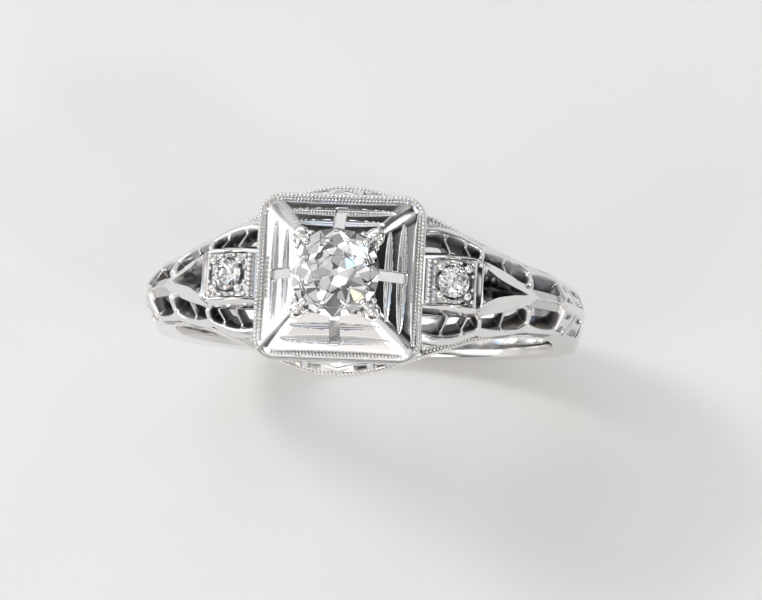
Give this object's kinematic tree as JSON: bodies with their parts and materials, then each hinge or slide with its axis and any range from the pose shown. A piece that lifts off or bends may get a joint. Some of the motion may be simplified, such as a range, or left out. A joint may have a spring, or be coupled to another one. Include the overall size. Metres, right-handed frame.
{
  "type": "engagement ring",
  "caption": "White gold filigree engagement ring with an old-cut diamond in a square stepped head, small diamonds on pierced leaf shoulders and a plain tapering shank.",
  "frame": {"origin": "centre of the finger hole, halfway across the band", "axes": "+Z from the finger hole to the centre stone, +Y along the finger, +X across the head from the left shoulder to the right shoulder"},
  "size_m": [0.02, 0.0082, 0.0219],
  "materials": {
    "white_gold_polished": "polished 18 carat white gold",
    "white_gold_filigree": "pierced and milgrained 18 carat white gold, darker in its recesses",
    "diamond": "near colourless old-cut diamond"
  },
  "bodies": {
    "root": {"shank": "white_gold_polished", "shoulder_bridge_left": "white_gold_polished", "shoulder_bridge_right": "white_gold_polished", "filigree_panel_front_left": "white_gold_filigree", "filigree_panel_rear_left": "white_gold_filigree", "filigree_panel_front_right": "white_gold_filigree", "filigree_panel_rear_right": "white_gold_filigree", "gallery_front": "white_gold_filigree", "gallery_rear": "white_gold_filigree", "rail_front": "white_gold_filigree", "rail_rear": "white_gold_filigree", "head_frame": "white_gold_polished", "head_plate": "white_gold_polished", "centre_seat": "white_gold_polished", "centre_diamond": "diamond", "side_diamond_left": "diamond", "side_diamond_right": "diamond"}
  },
  "joints": []
}
